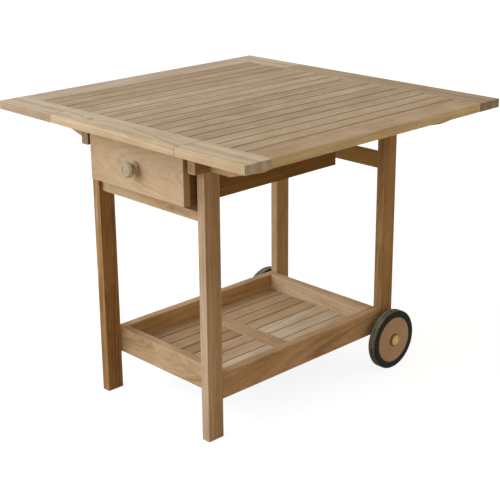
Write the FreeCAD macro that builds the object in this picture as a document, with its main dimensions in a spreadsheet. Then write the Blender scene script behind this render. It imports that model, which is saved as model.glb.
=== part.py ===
import FreeCAD, Part
import Sketcher
import math
import os

# A teak serving trolley with a drop-leaf top, a drawer, a slatted tray and two wheels.
# Frame: origin on the floor under the middle of the top, +X across the leaves, -Y the drawer end,
# +Z up. Sizes are in millimetres.

doc = FreeCAD.newDocument("room_service_table")
sheet = doc.addObject("Spreadsheet::Sheet", "dims")
vector = FreeCAD.Vector

driving_dimensions = {
    # the top: a centre panel and two hinged leaves, each a frame of end boards and slats
    "top_height": 740.0,
    "top_length": 865.0,
    "top_width": 874.0,
    "top_thick": 21.0,
    "leaf_line": 223.5,
    "leaf_gap": 4.0,
    "end_seam": 1.6,
    "end_board": 78.0,
    "slat_wide": 41.0,
    "centre_slat_count": 10,
    "leaf_slat_count": 3,
    "tongue_thick": 8.0,
    "tongue_wide": 33.0,
    "tongue_long": 14.0,
    "tongue_slack": 1.0,
    "rail_tongue_wide": 62.0,
    "board_ease": 1.5,
    "slat_ease": 0.8,
    # legs and rails
    "leg_wide": 24.0,
    "leg_deep": 47.0,
    "leg_outside": 204.0,
    "leg_station": 309.0,
    "leg_ease": 1.5,
    "back_foot": 40.0,
    "rail_tall": 60.0,
    "rail_long": 716.0,
    "tenon_thick": 10.0,
    "leg_tenon_deep": 31.0,
    "front_rail_low": 537.0,
    "front_rail_thick": 23.0,
    "front_rail_face": 320.5,
    "front_rail_deep": 45.0,
    "front_tenon_station": 303.0,
    "front_rail_tenon": 22.0,
    "back_rail_low": 540.0,
    "back_rail_tall": 40.0,
    "back_rail_thick": 22.0,
    "back_rail_station": 307.0,
    "back_rail_tenon": 26.0,
    # swing-out brackets that carry the leaves
    "bracket_reach": 187.0,
    "bracket_thick": 15.0,
    "bracket_flat": 63.0,
    "bracket_nose": 156.0,
    "bracket_nose_rise": 27.0,
    "bracket_tip": 17.0,
    "bracket_station": 306.5,
    "bracket_slack": 0.3,
    "bracket_gap": 0.5,
    "bracket_tip_round": 4.0,
    # the tray
    "tray_top": 162.5,
    "tray_tall": 65.0,
    "tray_thick": 24.0,
    "tray_end_outside": 284.0,
    "tray_tenon_tall": 45.0,
    "tray_slat_top": 120.0,
    "tray_slat_thick": 12.0,
    "tray_slat_wide": 41.4,
    "tray_slat_pitch": 45.0,
    "tray_slat_count": 8,
    "tray_middle_wide": 50.0,
    "tray_ledge": 23.0,
    "batten_thick": 10.0,
    "batten_wide": 24.0,
    # the drawer
    "drawer_wide": 335.0,
    "drawer_face": 360.5,
    "drawer_back": 139.0,
    "drawer_low": 579.0,
    "drawer_front_tall": 138.0,
    "drawer_front_thick": 18.0,
    "drawer_side_tall": 136.0,
    "drawer_side_thick": 15.0,
    "drawer_floor_low": 586.0,
    "drawer_floor_thick": 6.0,
    "runner_low": 680.3,
    "runner_tall": 12.0,
    "runner_slack": 0.3,
    "knob_height": 637.5,
    "knob_base": 16.0,
    "knob_neck": 9.5,
    "knob_head": 19.0,
    "knob_long": 30.0,
    "knob_spigot": 5.0,
    "knob_bolt": 2.0,
    # wheels and axle
    "wheel_outside": 80.0,
    "wheel_disc": 61.3,
    "wheel_thick": 24.0,
    "wheel_inner_face": 220.5,
    "wheel_station": 298.0,
    "axle_round": 6.0,
    "axle_play": 0.06,
    "spacer_round": 11.0,
    "spacer_play": 0.3,
    "cap_round": 16.8,
    "cap_tall": 7.0,
    "cap_play": 0.4,
    "axle_end": 250.5,
    # brass butt hinges
    "hinge_plate": 1.6,
    "hinge_barrel": 2.6,
    "hinge_lift": 2.9,
    "hinge_pin": 1.3,
    "hinge_pin_play": 0.06,
    "hinge_wing": 16.0,
    "hinge_root": 3.1,
    "leaf_hinge_long": 50.0,
    "leaf_hinge_station": 393.0,
    "bracket_hinge_long": 40.0,
    "bracket_hinge_wing": 24.0,
    "barrel_gap": 0.3,
    "hole_round": 1.8,
    "bolt_head": 1.75,
    "bolt_shank": 1.4,
    "bolt_long": 12.0,
}
for row, (alias, value) in enumerate(driving_dimensions.items(), start=1):
    sheet.set("A%d" % row, alias)
    sheet.set("B%d" % row, repr(value))
    sheet.setAlias("B%d" % row, alias)
doc.recompute()

parts = []


def new_body(label, x="0", y="0", z="0"):
    """A body whose own origin stands at x, y, z (expressions on the sheet)."""
    body = doc.addObject("PartDesign::Body", label)
    body.Label = label
    for letter, expression in (("x", x), ("y", y), ("z", z)):
        body.setExpression("Placement.Base." + letter, expression)
    parts.append(body)
    return body


def turn(body, axis, degrees):
    """Turn a finished body about one of its own axes."""
    body.Placement = FreeCAD.Placement(body.Placement.Base, FreeCAD.Rotation(axis, degrees))


def plane_of(body, role):
    return [feature for feature in body.Origin.OriginFeatures if feature.Role == role][0]


def new_sketch(body, role, name):
    sketch = body.newObject("Sketcher::SketchObject", name)
    sketch.AttachmentSupport = [(plane_of(body, role), "")]
    sketch.MapMode = "FlatFace"
    return sketch


def named(sketch, constraint, name, expression):
    """Add a dimension to a sketch and bind it to the sheet."""
    index = sketch.addConstraint(constraint)
    sketch.renameConstraint(index, name)
    sketch.setExpression("Constraints." + name, expression)


def rectangle(body, role, name, wide, tall, middle="0", centre="0"):
    """A rectangle of wide by tall whose middle is at (middle, centre) on an origin plane."""
    sketch = new_sketch(body, role, name)
    corners = [vector(-5, -4, 0), vector(5, -4, 0), vector(5, 4, 0), vector(-5, 4, 0)]
    for k in range(4):
        sketch.addGeometry(Part.LineSegment(corners[k], corners[(k + 1) % 4]), False)
    for k in range(4):
        sketch.addConstraint(Sketcher.Constraint("Coincident", k, 2, (k + 1) % 4, 1))
    sketch.addConstraint(Sketcher.Constraint("Horizontal", 0))
    sketch.addConstraint(Sketcher.Constraint("Horizontal", 2))
    sketch.addConstraint(Sketcher.Constraint("Vertical", 1))
    sketch.addConstraint(Sketcher.Constraint("Vertical", 3))
    named(sketch, Sketcher.Constraint("DistanceX", 0, 1, 0, 2, 10.0), "wide", wide)
    named(sketch, Sketcher.Constraint("DistanceY", 1, 1, 1, 2, 8.0), "tall", tall)
    left = "%s - (%s) / 2" % (middle, wide)
    low = "%s - (%s) / 2" % (centre, tall)
    named(sketch, Sketcher.Constraint("DistanceX", -1, 1, 0, 1, -5.0), "left", left)
    named(sketch, Sketcher.Constraint("DistanceY", -1, 1, 0, 1, -4.0), "low", low)
    return sketch


def polygon(body, role, name, corners):
    """A closed outline through corners, each a pair of expressions on the sheet."""
    sketch = new_sketch(body, role, name)
    count = len(corners)
    start = []
    for k in range(count):
        angle = 2 * math.pi * k / count
        start.append(vector(20 * math.cos(angle), 20 * math.sin(angle), 0))
    for k in range(count):
        sketch.addGeometry(Part.LineSegment(start[k], start[(k + 1) % count]), False)
    for k in range(count):
        sketch.addConstraint(Sketcher.Constraint("Coincident", k, 2, (k + 1) % count, 1))
    for k, (across, up) in enumerate(corners):
        named(sketch, Sketcher.Constraint("DistanceX", -1, 1, k, 1, start[k].x), "across_%d" % k, across)
        named(sketch, Sketcher.Constraint("DistanceY", -1, 1, k, 1, start[k].y), "up_%d" % k, up)
    return sketch


def circle(body, role, name, radius, middle="0", centre="0"):
    sketch = new_sketch(body, role, name)
    sketch.addGeometry(Part.Circle(vector(3, 3, 0), vector(0, 0, 1), 4), False)
    named(sketch, Sketcher.Constraint("Radius", 0, 4.0), "radius", radius)
    named(sketch, Sketcher.Constraint("DistanceX", -1, 1, 0, 3, 3.0), "middle", middle)
    named(sketch, Sketcher.Constraint("DistanceY", -1, 1, 0, 3, 3.0), "centre", centre)
    return sketch


def pad(body, sketch, long, both_ways=True, back=False, lift=None):
    """Extrude a sketch, by default equally to both sides of its plane."""
    feature = body.newObject("PartDesign::Pad", "pad")
    feature.Profile = sketch
    feature.setExpression("Length", long)
    feature.Midplane = both_ways
    feature.Reversed = back
    sketch.Visibility = False
    if lift is not None:
        sketch.setExpression("AttachmentOffset.Base.z", lift)
    return feature


def pocket(body, sketch, deep, both_ways=False, back=False, lift=None):
    """Cut a sketch into the body and make sure that something was removed."""
    doc.recompute()
    before = body.Shape.Volume
    feature = body.newObject("PartDesign::Pocket", "pocket")
    feature.Profile = sketch
    feature.setExpression("Length", deep)
    feature.Midplane = both_ways
    feature.Reversed = back
    sketch.Visibility = False
    if lift is not None:
        sketch.setExpression("AttachmentOffset.Base.z", lift)
    doc.recompute()
    if not body.Shape.Volume < before - 0.5:
        raise RuntimeError("%s: a pocket cut nothing" % body.Label)
    return feature


def revolve(body, sketch, axis):
    feature = body.newObject("PartDesign::Revolution", "turned")
    feature.Profile = sketch
    feature.ReferenceAxis = (sketch, [axis])
    feature.Angle = 360.0
    sketch.Visibility = False
    return feature


def repeat(body, feature, sketch, axis, pitch, count, back=False, whole=False):
    """A row of copies of one feature, or of the whole body, at a fixed pitch."""
    pattern = body.newObject("PartDesign::LinearPattern", "row")
    if whole:
        pattern.TransformMode = "Whole shape"
    else:
        pattern.Originals = [feature]
    pattern.Direction = (sketch, [axis])
    pattern.Mode = "Spacing"
    pattern.Reversed = back
    pattern.setExpression("Offset", pitch)
    pattern.setExpression("Occurrences", count)
    body.Tip = pattern
    return pattern


def mirror(body, role):
    """Mirror the whole body in one of its own origin planes."""
    doc.recompute()
    copy = body.newObject("PartDesign::Mirrored", "mirrored")
    copy.TransformMode = "Whole shape"
    copy.MirrorPlane = (plane_of(body, role), [""])
    body.Tip = copy
    return copy


def ease(body, feature, radius, wanted):
    """Round the edges of a feature that the test function wants."""
    doc.recompute()
    names = []
    for number, edge in enumerate(feature.Shape.Edges, start=1):
        if wanted(edge):
            names.append("Edge%d" % number)
    if not names:
        raise RuntimeError("%s: no edge to round" % body.Label)
    rounding = body.newObject("PartDesign::Fillet", "rounding")
    rounding.Base = (feature, names)
    rounding.setExpression("Radius", radius)
    return rounding


def runs_along(edge, axis):
    """True for a straight edge parallel to the axis."""
    if edge.Curve.TypeId != "Part::GeomLine":
        return False
    first = edge.Vertexes[0].Point
    last = edge.Vertexes[-1].Point
    return (last - first).cross(axis).Length < 1e-6


X_AXIS = vector(1, 0, 0)
Y_AXIS = vector(0, 1, 0)
Z_AXIS = vector(0, 0, 1)

# A board that runs along X has its section on the YZ plane, one along Y has it on the XZ plane.
SECTION = {"X": "YZ_Plane", "Y": "XZ_Plane"}
AXES = {"X": X_AXIS, "Y": Y_AXIS}


def board(label, along, long, thick, tall, x="0", y="0", z="0", rounded=None):
    """A straight board centred on its own origin, with its long edges eased."""
    body = new_body(label, x, y, z)
    section = rectangle(body, SECTION[along], "section", thick, tall)
    blank = pad(body, section, long)
    if rounded is not None:
        ease(body, blank, rounded, lambda edge: runs_along(edge, AXES[along]))
    return body


def tenons(body, along, thick, tall, long, across="0"):
    """Tenons on both ends: a thinner bar through the board, longer than it."""
    section = rectangle(body, SECTION[along], "tenon", thick, tall, across)
    return pad(body, section, long)


# ---------------------------------------------------------------- the top
slat_gap = "((2 * dims.leaf_line - dims.leaf_gap - dims.centre_slat_count * dims.slat_wide)"
slat_gap += " / (dims.centre_slat_count - 1))"
slat_pitch = "(dims.slat_wide + %s)" % slat_gap
slat_long = "(dims.top_length - 2 * dims.end_board)"
board_middle = "dims.top_height - dims.top_thick / 2"
leaf_inner = "(dims.leaf_line + dims.leaf_gap / 2)"
leaf_wide = "(dims.top_width / 2 - %s)" % leaf_inner
edge_rail_wide = "(%s - dims.leaf_slat_count * %s)" % (leaf_wide, slat_pitch)


def end_board(label, side, middle, long, first_slat, slats, edge_rail=None, back=False):
    """A breadboard end with a stopped mortise for the tongue of each slat along its inner edge.

    side is -1 at the drawer end and 1 at the wheel end. first_slat and edge_rail are places along
    X in the whole table; the row of slats runs to +X, or to -X where back is true.
    """
    edge = "%d * %s / 2" % (side, slat_long)
    body = new_body(label, middle, edge, board_middle)
    outline = rectangle(body, "XY_Plane", "outline", long, "dims.end_board", "0", "%d * dims.end_board / 2" % side)
    blank = pad(body, outline, "dims.top_thick")

    def outer_edge(line):
        return runs_along(line, X_AXIS) and abs(line.Vertexes[0].Point.y) > 1.0

    ease(body, blank, "dims.board_ease", outer_edge)
    into_board = side < 0
    place = "%s - (%s)" % (first_slat, middle)
    mortise = rectangle(body, "XZ_Plane", "mortise", "dims.tongue_wide", "dims.tongue_thick", place)
    cut = pocket(body, mortise, "dims.tongue_long + dims.tongue_slack", back=into_board)
    repeat(body, cut, mortise, "H_Axis", slat_pitch, slats, back=back)
    if edge_rail is not None:
        place = "%s - (%s)" % (edge_rail, middle)
        wide = rectangle(body, "XZ_Plane", "rail_mortise", "dims.rail_tongue_wide", "dims.tongue_thick", place)
        pocket(body, wide, "dims.tongue_long + dims.tongue_slack", back=into_board)
    return body


def slat_row(label, first, count, wide="dims.slat_wide", tongue="dims.tongue_wide", back=False):
    """A row of like slats that run along Y, each with a tongue on both ends."""
    body = board(label, "Y", slat_long, wide, "dims.top_thick", first, "0", board_middle, "dims.slat_ease")
    tenons(body, "Y", tongue, "dims.tongue_thick", "%s + 2 * dims.tongue_long" % slat_long)
    if count is not None:
        guide = [feature for feature in body.Group if feature.Name.startswith("section")][0]
        repeat(body, None, guide, "H_Axis", slat_pitch, count, back=back, whole=True)
    return body


# The end boards of the three panels meet at a hairline seam; the slats stand further apart.
centre_long = "(2 * dims.leaf_line - dims.end_seam)"
first_slat = "-(dims.leaf_line - dims.leaf_gap / 2 - dims.slat_wide / 2)"
end_board("centre_end_board_front", -1, "0", centre_long, first_slat, "dims.centre_slat_count")
end_board("centre_end_board_back", 1, "0", centre_long, first_slat, "dims.centre_slat_count")
slat_row("centre_slats", first_slat, "dims.centre_slat_count")

end_inner = "(dims.leaf_line + dims.end_seam / 2)"
end_long = "(dims.top_width / 2 - %s)" % end_inner
for hand, side in (("left", -1), ("right", 1)):
    end_middle = "%d * (%s + %s / 2)" % (side, end_inner, end_long)
    first_slat = "%d * (%s + dims.slat_wide / 2)" % (side, leaf_inner)
    rail_middle = "%d * (dims.top_width / 2 - %s / 2)" % (side, edge_rail_wide)
    for end, y_side in (("front", -1), ("back", 1)):
        end_board(
            "%s_leaf_end_board_%s" % (hand, end), y_side, end_middle, end_long, first_slat,
            "dims.leaf_slat_count", rail_middle, back=side < 0)
    slat_row(hand + "_leaf_slats", first_slat, "dims.leaf_slat_count", back=side < 0)
    slat_row(hand + "_leaf_edge_rail", rail_middle, None, edge_rail_wide, "dims.rail_tongue_wide")

# ---------------------------------------------------------------- legs and rails
leg_middle = "(dims.leg_outside - dims.leg_wide / 2)"
rail_low = "(dims.top_height - dims.top_thick - dims.rail_tall)"
tray_middle = "(dims.tray_top - dims.tray_tall / 2)"


def leg(label, x_side, y_side, foot):
    """A leg with a tenon on top and mortises from its own middle plane to its inner faces."""
    body = new_body(label, "%d * %s" % (x_side, leg_middle), "%d * dims.leg_station" % y_side, foot)
    section = rectangle(body, "XY_Plane", "section", "dims.leg_wide", "dims.leg_deep")
    blank = pad(body, section, "%s - %s" % (rail_low, foot), both_ways=False)
    ease(body, blank, "dims.leg_ease", lambda edge: runs_along(edge, Z_AXIS))
    tenon = rectangle(body, "XY_Plane", "top_tenon", "dims.tenon_thick", "dims.leg_tenon_deep")
    pad(body, tenon, "%s - %s + dims.rail_tall / 2" % (rail_low, foot), both_ways=False)
    height = "%s - %s" % (tray_middle, foot)
    side_mortise = rectangle(
        body, "XZ_Plane", "tray_mortise", "dims.tenon_thick", "dims.tray_tenon_tall", "0", height)
    pocket(body, side_mortise, "dims.leg_deep / 2 + 1", back=y_side > 0)
    if y_side < 0:
        across = "%d * (dims.front_tenon_station - dims.leg_station)" % y_side
        height = "dims.front_rail_low + dims.front_rail_thick / 2 - %s" % foot
        mortise = rectangle(
            body, "YZ_Plane", "rail_mortise", "dims.front_rail_tenon", "dims.tenon_thick", across, height)
    else:
        across = "%d * (dims.back_rail_station - dims.leg_station)" % y_side
        height = "dims.back_rail_low + dims.back_rail_tall / 2 - %s" % foot
        mortise = rectangle(
            body, "YZ_Plane", "rail_mortise", "dims.tenon_thick", "dims.back_rail_tenon", across, height)
    pocket(body, mortise, "dims.leg_wide / 2 + 1", back=x_side < 0)
    if y_side > 0:
        bore = circle(
            body, "YZ_Plane", "axle_bore", "dims.axle_round", "dims.wheel_station - dims.leg_station",
            "dims.wheel_outside - %s" % foot)
        pocket(body, bore, "dims.leg_wide + 2", both_ways=True)
    return body


leg("front_left_leg", -1, -1, "0")
leg("front_right_leg", 1, -1, "0")
leg("back_left_leg", -1, 1, "dims.back_foot")
leg("back_right_leg", 1, 1, "dims.back_foot")

for hand, side in (("left", -1), ("right", 1)):
    rail = board(
        "top_rail_" + hand, "Y", "dims.rail_long", "dims.leg_wide", "dims.rail_tall",
        "%d * %s" % (side, leg_middle), "0", "%s + dims.rail_tall / 2" % rail_low, "dims.board_ease")
    mortise = rectangle(
        rail, "XY_Plane", "leg_mortise", "dims.tenon_thick", "dims.leg_tenon_deep", "0", "-dims.leg_station")
    cut = pocket(rail, mortise, "dims.rail_tall / 2 + 1")
    repeat(rail, cut, mortise, "V_Axis", "2 * dims.leg_station", "2")

inner_span = "(2 * (dims.leg_outside - dims.leg_wide))"
tenon_span = "(2 * (dims.leg_outside - dims.leg_wide / 2))"
front_rail_middle = "(dims.front_rail_face - dims.front_rail_deep / 2)"
rail = board(
    "front_cross_rail", "X", inner_span, "dims.front_rail_deep", "dims.front_rail_thick",
    "0", "-" + front_rail_middle, "dims.front_rail_low + dims.front_rail_thick / 2", "dims.board_ease")
tenons(
    rail, "X", "dims.front_rail_tenon", "dims.tenon_thick", tenon_span,
    "%s - dims.front_tenon_station" % front_rail_middle)
rail = board(
    "back_cross_rail", "X", inner_span, "dims.back_rail_thick", "dims.back_rail_tall",
    "0", "dims.back_rail_station", "dims.back_rail_low + dims.back_rail_tall / 2", "dims.board_ease")
tenons(rail, "X", "dims.tenon_thick", "dims.back_rail_tenon", tenon_span)

# ---------------------------------------------------------------- swing-out brackets
for end, y_side in (("front", -1), ("back", 1)):
    for hand, x_side in (("left", -1), ("right", 1)):
        bracket = new_body(
            "%s_%s_leaf_bracket" % (end, hand), "%d * dims.leg_outside" % x_side,
            "%d * dims.bracket_station" % y_side, rail_low)
        crest = "dims.rail_tall - dims.bracket_slack"
        outline = polygon(bracket, "XZ_Plane", "outline", [
            ("dims.bracket_gap", "0"),
            ("dims.bracket_flat", "0"),
            ("dims.bracket_nose", "dims.bracket_nose_rise"),
            ("dims.bracket_reach", "%s - dims.bracket_tip" % crest),
            ("dims.bracket_reach", crest),
            ("dims.bracket_gap", crest),
        ])
        blank = pad(bracket, outline, "dims.bracket_thick")
        doc.recompute()

        def tip_corner(edge):
            return runs_along(edge, Y_AXIS) and edge.Vertexes[0].Point.x > sheet.get("bracket_nose") + 1

        ease(bracket, blank, "dims.bracket_tip_round", tip_corner)
        if x_side < 0:
            turn(bracket, Z_AXIS, 180)

# ---------------------------------------------------------------- the tray
tray_end_middle = "(dims.tray_end_outside - dims.tray_thick / 2)"
leg_inner_y = "(dims.leg_station - dims.leg_deep / 2)"
for hand, side in (("left", -1), ("right", 1)):
    rim = board(
        "tray_side_" + hand, "Y", "2 * %s" % leg_inner_y, "dims.tray_thick", "dims.tray_tall",
        "%d * (dims.leg_outside - dims.tray_thick / 2)" % side, "0", tray_middle, "dims.board_ease")
    tenons(rim, "Y", "dims.tenon_thick", "dims.tray_tenon_tall", "2 * dims.leg_station")
    mortise = rectangle(
        rim, "YZ_Plane", "end_mortise", "dims.tenon_thick", "dims.tray_tenon_tall", "-" + tray_end_middle)
    cut = pocket(rim, mortise, "dims.tray_thick / 2 + 1", back=side < 0)
    repeat(rim, cut, mortise, "H_Axis", "2 * %s" % tray_end_middle, "2")
for end, side in (("front", -1), ("back", 1)):
    rim = board(
        "tray_end_" + end, "X", "2 * (dims.leg_outside - dims.tray_thick)", "dims.tray_thick",
        "dims.tray_tall", "0", "%d * %s" % (side, tray_end_middle), tray_middle, "dims.board_ease")
    tenons(rim, "X", "dims.tenon_thick", "dims.tray_tenon_tall", "2 * (dims.leg_outside - dims.tray_thick / 2)")

tray_inside = "(2 * (dims.leg_outside - dims.tray_thick))"
slat_low = "(dims.tray_slat_top - dims.tray_slat_thick)"
middle = new_body("tray_middle_rail", "0", "0", slat_low)
upper = rectangle(
    middle, "YZ_Plane", "upper", "dims.tray_middle_wide", "dims.tray_slat_thick", "0", "dims.tray_slat_thick / 2")
pad(middle, upper, tray_inside)
lower = rectangle(
    middle, "YZ_Plane", "lower", "dims.tray_middle_wide + 2 * dims.tray_ledge", "dims.batten_thick", "0",
    "-dims.batten_thick / 2")
pad(middle, lower, tray_inside)

tray_end_inner = "(dims.tray_end_outside - dims.tray_thick)"
battens = board(
    "tray_battens", "X", tray_inside, "dims.batten_wide", "dims.batten_thick", "0",
    "-(%s - dims.batten_wide / 2)" % tray_end_inner, "%s - dims.batten_thick / 2" % slat_low)
guide = [feature for feature in battens.Group if feature.Name.startswith("section")][0]
repeat(battens, None, guide, "H_Axis", "2 * %s - dims.batten_wide" % tray_end_inner, "2", whole=True)

tray_slat_long = "(%s - dims.tray_middle_wide / 2 - 0.5)" % tray_end_inner
for end, side in (("front", -1), ("back", 1)):
    slats = board(
        "tray_slats_" + end, "Y", tray_slat_long, "dims.tray_slat_wide", "dims.tray_slat_thick",
        "-(dims.tray_slat_count - 1) * dims.tray_slat_pitch / 2",
        "%d * (dims.tray_middle_wide / 2 + 0.25 + %s / 2)" % (side, tray_slat_long),
        "%s + dims.tray_slat_thick / 2" % slat_low, "dims.slat_ease")
    guide = [feature for feature in slats.Group if feature.Name.startswith("section")][0]
    repeat(slats, None, guide, "H_Axis", "dims.tray_slat_pitch", "dims.tray_slat_count", whole=True)

# ---------------------------------------------------------------- the drawer
front_middle_y = "-(dims.drawer_face - dims.drawer_front_thick / 2)"
front_middle_z = "(dims.drawer_low + dims.drawer_front_tall / 2)"
floor_middle = "(dims.drawer_floor_low + dims.drawer_floor_thick / 2)"
front = board(
    "drawer_front", "X", "dims.drawer_wide", "dims.drawer_front_thick", "dims.drawer_front_tall",
    "0", front_middle_y, front_middle_z, "dims.slat_ease")
groove = rectangle(
    front, "XZ_Plane", "floor_groove", "dims.drawer_wide - dims.drawer_side_thick", "dims.drawer_floor_thick",
    "0", "%s - %s" % (floor_middle, front_middle_z))
pocket(front, groove, "dims.drawer_front_thick / 2 + 1")
socket = circle(
    front, "XZ_Plane", "knob_socket", "dims.knob_spigot", "0", "dims.knob_height - %s" % front_middle_z)
pocket(front, socket, "dims.drawer_front_thick / 2 + 1", back=True)
hole = circle(
    front, "XZ_Plane", "bolt_hole", "dims.knob_bolt", "0", "dims.knob_height - %s" % front_middle_z)
pocket(front, hole, "dims.drawer_front_thick / 2 + 1")

side_long = "(dims.drawer_back + dims.drawer_face - dims.drawer_front_thick)"
side_middle_y = "(dims.drawer_back - %s / 2)" % side_long
side_middle_z = "(dims.drawer_low + dims.drawer_side_tall / 2)"
for hand, side in (("left", -1), ("right", 1)):
    wall = board(
        "drawer_side_" + hand, "Y", side_long, "dims.drawer_side_thick", "dims.drawer_side_tall",
        "%d * (dims.drawer_wide - dims.drawer_side_thick) / 2" % side, side_middle_y, side_middle_z)
    groove = rectangle(
        wall, "YZ_Plane", "floor_groove", "%s + 2" % side_long, "dims.drawer_floor_thick", "0",
        "%s - %s" % (floor_middle, side_middle_z))
    pocket(wall, groove, "dims.drawer_side_thick / 2 + 1", back=side < 0)
    groove = rectangle(
        wall, "YZ_Plane", "runner_groove", "%s + 2" % side_long, "dims.runner_tall + 2 * dims.runner_slack",
        "0", "dims.runner_low + dims.runner_tall / 2 - %s" % side_middle_z)
    pocket(wall, groove, "dims.drawer_side_thick / 2 + 1", back=side > 0)

inside_wide = "(dims.drawer_wide - 2 * dims.drawer_side_thick)"
back_low = "(dims.drawer_floor_low + dims.drawer_floor_thick)"
back_tall = "(dims.drawer_low + dims.drawer_side_tall - %s)" % back_low
board(
    "drawer_back", "X", inside_wide, "dims.drawer_side_thick", back_tall, "0",
    "dims.drawer_back - dims.drawer_side_thick / 2", "%s + %s / 2" % (back_low, back_tall))
floor_long = "(dims.drawer_back + dims.drawer_face - dims.drawer_front_thick / 2)"
board(
    "drawer_bottom", "Y", floor_long, "dims.drawer_wide - dims.drawer_side_thick", "dims.drawer_floor_thick",
    "0", "dims.drawer_back - %s / 2" % floor_long, floor_middle)

groove_floor = "(dims.drawer_wide / 2 - dims.drawer_side_thick / 2 + dims.runner_slack)"
runner_wide = "(dims.leg_outside - dims.leg_wide - %s)" % groove_floor
runner_long = "(%s - 0.5)" % side_long
for hand, side in (("left", -1), ("right", 1)):
    board(
        "drawer_runner_" + hand, "Y", runner_long, runner_wide, "dims.runner_tall",
        "%d * (%s + %s / 2)" % (side, groove_floor, runner_wide),
        "dims.drawer_back - %s / 2" % runner_long, "dims.runner_low + dims.runner_tall / 2")

# The knob is turned in one piece: a flared foot, a neck, and a mushroom head with a ring cut in it.
knob = new_body("drawer_knob", "0", "-dims.drawer_face", "dims.knob_height")
profile = polygon(knob, "XY_Plane", "profile", [
    ("0", "dims.drawer_front_thick / 2"),
    ("dims.knob_spigot", "dims.drawer_front_thick / 2"),
    ("dims.knob_spigot", "0"),
    ("dims.knob_base", "0"),
    ("dims.knob_base", "-4.5"),
    ("dims.knob_neck + 2", "-7"),
    ("dims.knob_neck", "-11"),
    ("dims.knob_neck + 1.5", "-15"),
    ("dims.knob_head - 3.5", "-17.5"),
    ("dims.knob_head", "-21"),
    ("dims.knob_head", "5 - dims.knob_long"),
    ("dims.knob_head - 4.5", "-dims.knob_long"),
    ("dims.knob_head - 8.5", "-dims.knob_long"),
    ("dims.knob_head - 9.5", "1.2 - dims.knob_long"),
    ("dims.knob_head - 10.5", "1.2 - dims.knob_long"),
    ("dims.knob_head - 11.5", "-dims.knob_long"),
    ("0", "-dims.knob_long"),
])
turned = revolve(knob, profile, "V_Axis")
doc.recompute()


def knob_crease(edge):
    """The outer rings of the head, which are sanded round."""
    if edge.Curve.TypeId != "Part::GeomCircle":
        return False
    return abs(edge.Curve.Radius - sheet.get("knob_head")) < 0.01


ease(knob, turned, "1.2", knob_crease)

bolt = new_body("knob_bolt", "0", "-(dims.drawer_face - dims.drawer_front_thick)", "dims.knob_height")
profile = polygon(bolt, "XY_Plane", "profile", [
    ("0", "-dims.drawer_front_thick - 12"),
    ("dims.knob_bolt", "-dims.drawer_front_thick - 10"),
    ("dims.knob_bolt", "0"),
    ("4.2", "0"),
    ("4.2", "1"),
    ("2.5", "2.4"),
    ("0", "2.4"),
])
revolve(bolt, profile, "V_Axis")

# ---------------------------------------------------------------- axle and wheels
axle = new_body("axle", "0", "dims.wheel_station", "dims.wheel_outside")
pad(axle, circle(axle, "YZ_Plane", "section", "dims.axle_round"), "2 * dims.axle_end")

wheel_middle = "(dims.wheel_inner_face + dims.wheel_thick / 2)"
half = "dims.wheel_thick / 2"
for hand, side in (("left", -1), ("right", 1)):
    disc = new_body("wheel_disc_" + hand, "%d * %s" % (side, wheel_middle), "dims.wheel_station",
                    "dims.wheel_outside")
    profile = polygon(disc, "XZ_Plane", "profile", [
        ("-" + half, "dims.axle_round + dims.axle_play"),
        (half, "dims.axle_round + dims.axle_play"),
        (half, "dims.wheel_disc - 1.5"),
        (half + " - 1.5", "dims.wheel_disc"),
        ("1.5 - " + half, "dims.wheel_disc"),
        ("-" + half, "dims.wheel_disc - 1.5"),
    ])
    revolve(disc, profile, "H_Axis")

    tyre = new_body("wheel_tyre_" + hand, "%d * %s" % (side, wheel_middle), "dims.wheel_station",
                    "dims.wheel_outside")
    tread = [
        ("1.5 - " + half, "dims.wheel_disc"),
        (half + " - 1.5", "dims.wheel_disc"),
        (half, "dims.wheel_disc + 1.5"),
        (half, "dims.wheel_outside - 5"),
        (half + " - 1.2", "dims.wheel_outside - 1.8"),
        (half + " - 3.4", "dims.wheel_outside"),
        ("0.9", "dims.wheel_outside"),
        ("0.6", "dims.wheel_outside - 1"),
        ("-0.6", "dims.wheel_outside - 1"),
        ("-0.9", "dims.wheel_outside"),
        ("3.4 - " + half, "dims.wheel_outside"),
        ("1.2 - " + half, "dims.wheel_outside - 1.8"),
        ("-" + half, "dims.wheel_outside - 5"),
        ("-" + half, "dims.wheel_disc + 1.5"),
    ]
    revolve(tyre, polygon(tyre, "XZ_Plane", "profile", tread), "H_Axis")

spacer_long = "(dims.wheel_inner_face - dims.spacer_play - dims.leg_outside)"
spacers = new_body("axle_spacers", "0", "dims.wheel_station", "dims.wheel_outside")
profile = polygon(spacers, "XZ_Plane", "profile", [
    ("dims.leg_outside", "dims.axle_round"),
    ("dims.leg_outside + " + spacer_long, "dims.axle_round"),
    ("dims.leg_outside + " + spacer_long, "dims.spacer_round"),
    ("dims.leg_outside", "dims.spacer_round"),
])
revolve(spacers, profile, "H_Axis")
mirror(spacers, "YZ_Plane")

cap_foot = "(dims.wheel_inner_face + dims.wheel_thick + dims.cap_play)"
caps = new_body("axle_caps", "0", "dims.wheel_station", "dims.wheel_outside")
dome = [(cap_foot, "dims.axle_round"), (cap_foot, "dims.cap_round"), (cap_foot + " + 1.4", "dims.cap_round")]
for share, lift in ((0.92, 0.34), (0.78, 0.58), (0.58, 0.79), (0.34, 0.93)):
    dome.append(("%s + 1.4 + %g * (dims.cap_tall - 1.4)" % (cap_foot, lift), "%g * dims.cap_round" % share))
dome.append((cap_foot + " + dims.cap_tall", "0"))
dome.append(("dims.axle_end", "0"))
dome.append(("dims.axle_end", "dims.axle_round"))
revolve(caps, polygon(caps, "XZ_Plane", "profile", dome), "H_Axis")
mirror(caps, "YZ_Plane")

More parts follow.
